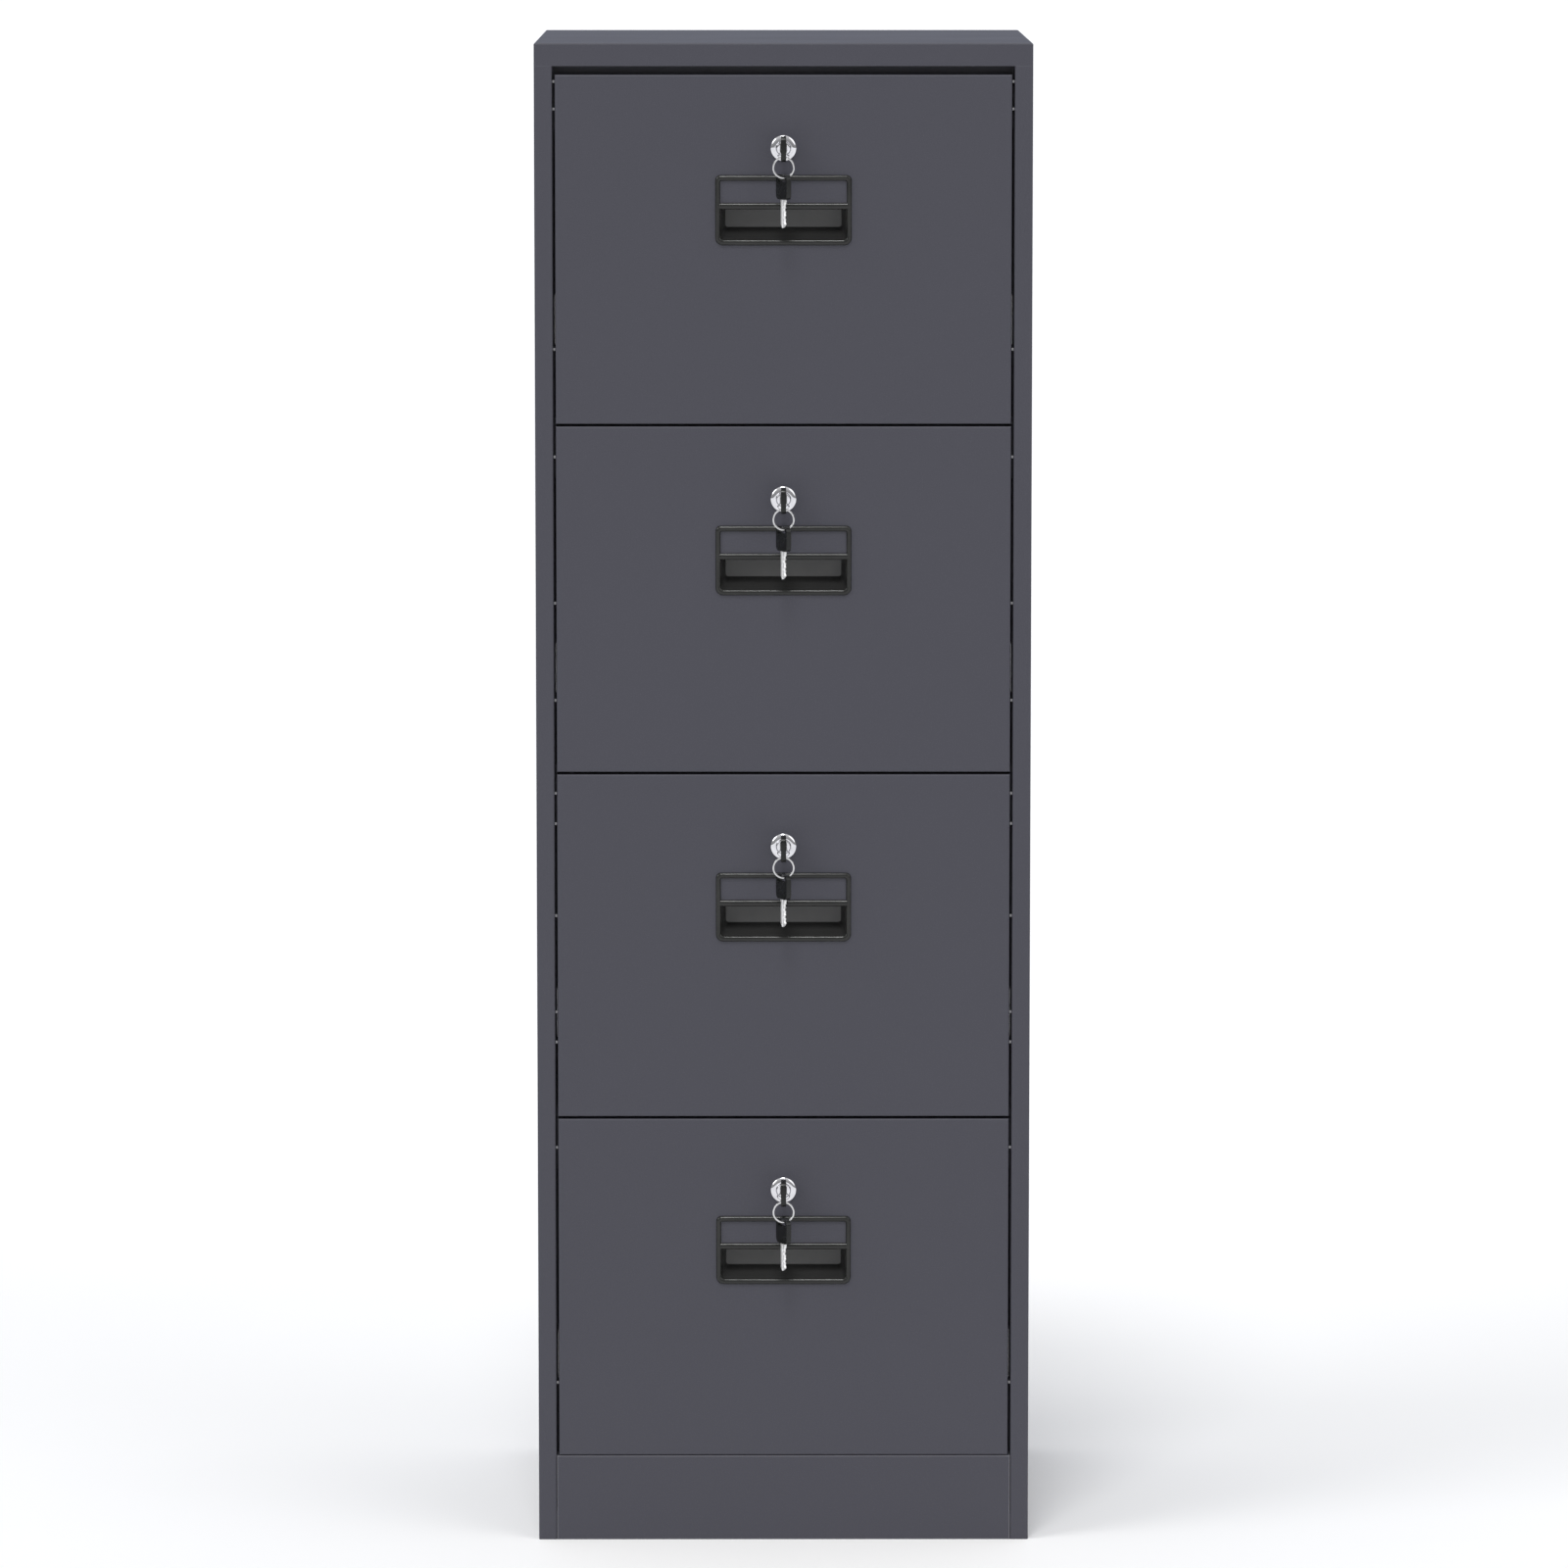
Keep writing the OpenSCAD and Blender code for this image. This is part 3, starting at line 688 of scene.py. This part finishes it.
def rolled_section(web_x, lip_x, top_z, curl, bend):
    """Middle line of a slide member: a web, two lips, and a short curl back at the end of each lip."""
    side = 1 if lip_x > web_x else -1
    turn = [(lip_x, top_z - bend - curl)]
    turn += [(lip_x - side * bend + side * bend * math.cos(a), top_z - bend + bend * math.sin(a))
             for a in (math.pi / 2 * k / 4 for k in range(5))]
    turn += [(web_x + side * bend - side * bend * math.sin(a), top_z - bend + bend * math.cos(a))
             for a in (math.pi / 2 * k / 4 for k in range(5))]
    return turn + [(x, -z) for x, z in reversed(turn)]


def member_mesh(section, gauge, length):
    """A sheet member from y = 0 back to y = length, with its section's x measured from the upright."""
    bm = bmesh.new()
    plate(bm, [thick_line(section, gauge)], length, 0.15, 2)
    along_y(bm, length / 2)
    return mesh_of("slide_member", bm)


def cage_meshes(web_x, arm_x, row_z, ball_x, length):
    """A thin cage with a row of balls along its top and its bottom. Returns the cage and its balls."""
    ball_r = 1.72
    ball_step = 9.5
    bend = 1.2
    arm = [(arm_x, row_z)]
    arm += [(web_x + bend - bend * math.sin(a), row_z - bend + bend * math.cos(a))
            for a in (math.pi / 2 * k / 3 for k in range(4))]
    cage = member_mesh(arm + [(x, -z) for x, z in reversed(arm)], 0.5, length)
    bm = bmesh.new()
    count = int((length - 4) / ball_step)
    for i in range(count):
        for z in (-row_z, row_z):
            middle = Vector((ball_x, (i + 0.5) * length / count, z))
            bmesh.ops.create_icosphere(bm, subdivisions=2, radius=ball_r, matrix=Matrix.Translation(middle))
    return cage, mesh_of("balls", bm, 180)


def slide_pieces():
    """Three rolled members, two ball cages and three screws for each slide, left and right."""
    gauge = 1.2
    rear_cage_y = 205
    front_cage_y = 6
    screw_x = 11.5
    screw_ys = (22, 150, 300)
    outer_low, outer_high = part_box("slide_outers_left")
    length = (outer_high.y - outer_low.y) / MM
    face_x = outer_low.x
    outer_section = rolled_section(web_x=0.6, lip_x=9.3, top_z=21.9, curl=1.2, bend=1.3)
    middle_section = rolled_section(web_x=3.6, lip_x=10.0, top_z=17.1, curl=1.2, bend=1.2)
    inner_section = rolled_section(web_x=12.1, lip_x=6.0, top_z=12.3, curl=1.0, bend=1.2)
    outer = member_mesh(outer_section, gauge, length)
    middle = member_mesh(middle_section, gauge, length)
    inner = member_mesh(inner_section, gauge, length)
    rear_cage, rear_balls = cage_meshes(web_x=2.1, arm_x=8.4, row_z=19.5, ball_x=6.6, length=130)
    front_cage, front_balls = cage_meshes(web_x=4.75, arm_x=9.0, row_z=14.7, ball_x=7.8, length=120)
    screw = screw_mesh(4, 1.6)
    face_screw = Matrix.Rotation(math.pi / 2, 4, "Z")
    for n in DRAWERS:
        low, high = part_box(f"drawer_{n}_slide_middles")
        z = (low.z + high.z) / 2
        for side, name in ((1, "left"), (-1, "right")):
            mirror = Matrix.Diagonal((side, 1, 1, 1))
            base = mirror @ Matrix.Translation((face_x, outer_low.y, z))
            put(f"slide_outer_{name}_{n}", outer, base, zinc, "cabinet",
                [f"slide_outers_{name}"])
            put(f"slide_middle_{name}_{n}", middle, base, zinc, f"slides_{n}",
                [f"drawer_{n}_slide_middles"])
            put(f"slide_inner_{name}_{n}", inner, base, zinc, f"drawer_{n}",
                [f"drawer_{n}_slide_inners"])
            rear = base @ Matrix.Translation((0, rear_cage_y * MM, 0))
            front = base @ Matrix.Translation((0, front_cage_y * MM, 0))
            for place, cage, balls, row in ((rear, rear_cage, rear_balls, "rear"),
                                            (front, front_cage, front_balls, "front")):
                put(f"{row}_cage_{name}_{n}", cage, place, zinc, f"slides_{n}")
                put(f"{row}_balls_{name}_{n}", balls, place, chrome, f"slides_{n}")
            for k, y in enumerate(screw_ys):
                place = base @ Matrix.Translation((screw_x * MM, y * MM, 0)) @ face_screw
                put(f"slide_screw_{name}_{n}_{k + 1}", screw, place, zinc, f"drawer_{n}")


def back_screw_pieces():
    """The cross-head screws that hold the back panel."""
    screw_zs = (60, 300, 550, 800, 1050, 1280)
    head_r = 3.6
    screw = screw_mesh(head_r, 1.6, 1.5, 3)
    screw_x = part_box("back_screws")[1].x - head_r * MM
    panel_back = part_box("right_side_panel")[1].y
    for k, z in enumerate(screw_zs):
        for side, name in ((-1, "left"), (1, "right")):
            place = Matrix.Translation((side * screw_x, panel_back, z * MM))
            put(f"back_screw_{name}_{k + 1}", screw, place, zinc, "cabinet", ["back_screws"])


# ---- buffers beside the drawer fronts ----

def buffer_pieces():
    """Small nylon buffers in the gaps beside each drawer front."""
    # how far below its front's top edge each buffer sits, by drawer
    drops = {1: (6, 30, 240), 2: (27, 156, 242), 3: (17, 44, 126, 212, 239), 4: (26, 238)}
    setback = 3
    bm = bmesh.new()
    plate(bm, [rounded(-1.2, -1.3, 1.2, 1.3, 0.5, 0.5, 3)], 1.8, 0.3, 2)
    pad = mesh_of("buffer", bm)
    for n in DRAWERS:
        low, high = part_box(f"drawer_{n}_front")
        gap_mid = (high.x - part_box("left_side_panel")[1].x) / 2
        for k, drop in enumerate(drops[n]):
            for side, name in ((-1, "left"), (1, "right")):
                place = (Matrix.Translation((side * gap_mid, low.y + setback * MM, high.z - drop * MM))
                         @ Matrix.Rotation(math.pi / 2, 4, "Y"))
                put(f"buffer_{name}_{n}_{k + 1}", pad, place, buffer_grey, "cabinet")


# ---- studio ----

def studio():
    """A wide pale floor, soft light from the left, the right and above, and a sky that brightens upwards."""
    floor_r = 70
    scene = bpy.context.scene
    scene.view_settings.view_transform = "Standard"
    world = bpy.data.worlds.new("studio")
    world.use_nodes = True
    tree = world.node_tree
    background = tree.nodes["Background"]
    background.inputs["Color"].default_value = (1, 1, 1, 1)
    coordinates = tree.nodes.new("ShaderNodeTexCoord")
    split = tree.nodes.new("ShaderNodeSeparateXYZ")
    tree.links.new(coordinates.outputs["Generated"], split.inputs["Vector"])
    # the sky is a little bluer behind the cabinet
    behind = remap(tree, split.outputs["Y"], 0.3, 0.8, 0, 1)
    tree.links.new(mixed(tree, behind, (1, 1, 1), (0.93, 1.0, 1.18)), background.inputs["Color"])
    brightness = remap(tree, split.outputs["Z"], 0.0, 0.9, 0.25, 0.8)
    tree.links.new(brightness, background.inputs["Strength"])
    scene.world = world

    for name, azimuth, elevation, strength, angle in (("left_light", -60, 32, 0.75, 30),
                                                      ("right_light", 50, 30, 0.4, 40),
                                                      ("top_light", -8, 62, 1.15, 16)):
        data = bpy.data.lights.new(name, "SUN")
        data.energy = strength
        data.angle = math.radians(angle)
        light = bpy.data.objects.new(name, data)
        a, e = math.radians(azimuth), math.radians(elevation)
        towards = Vector((math.sin(a) * math.cos(e), -math.cos(a) * math.cos(e), math.sin(e)))
        light.rotation_euler = towards.to_track_quat("Z", "Y").to_euler()
        scene.collection.objects.link(light)

    material, tree, shader = new_material("studio_floor", (0.93, 0.93, 0.93), 0.6)
    patches = noise(tree, 1.5, 3)
    pale = mixed(tree, patches, (0.92, 0.92, 0.92), (0.95, 0.95, 0.95))
    tree.links.new(pale, shader.inputs["Base Color"])
    shader.inputs["Specular IOR Level"].default_value = 0.1
    bm = bmesh.new()
    bmesh.ops.create_circle(bm, cap_ends=True, radius=floor_r, segments=96)
    mesh = bpy.data.meshes.new("floor")
    bm.to_mesh(mesh)
    bm.free()
    mesh.materials.append(material)
    floor = bpy.data.objects.new("floor", mesh)
    scene.collection.objects.link(floor)


def photo_camera():
    """The camera stands well back, a little above the cabinet, and looks slightly down at its front."""
    distance = 7.0
    height = 1.541
    side = -0.0197
    tilt = 7.02
    turn = 0.165
    data = bpy.data.cameras.new("camera")
    data.lens = 183.6
    data.sensor_width = 36
    data.clip_end = 200
    camera = bpy.data.objects.new("camera", data)
    camera.location = (side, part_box("top_panel")[0].y - distance, height)
    camera.rotation_euler = (math.radians(90 - tilt), 0, -math.radians(turn))
    bpy.context.scene.collection.objects.link(camera)
    bpy.context.scene.camera = camera


finish_cad_nodes()
drawer_pieces()
slide_pieces()
back_screw_pieces()
buffer_pieces()
studio()
photo_camera()
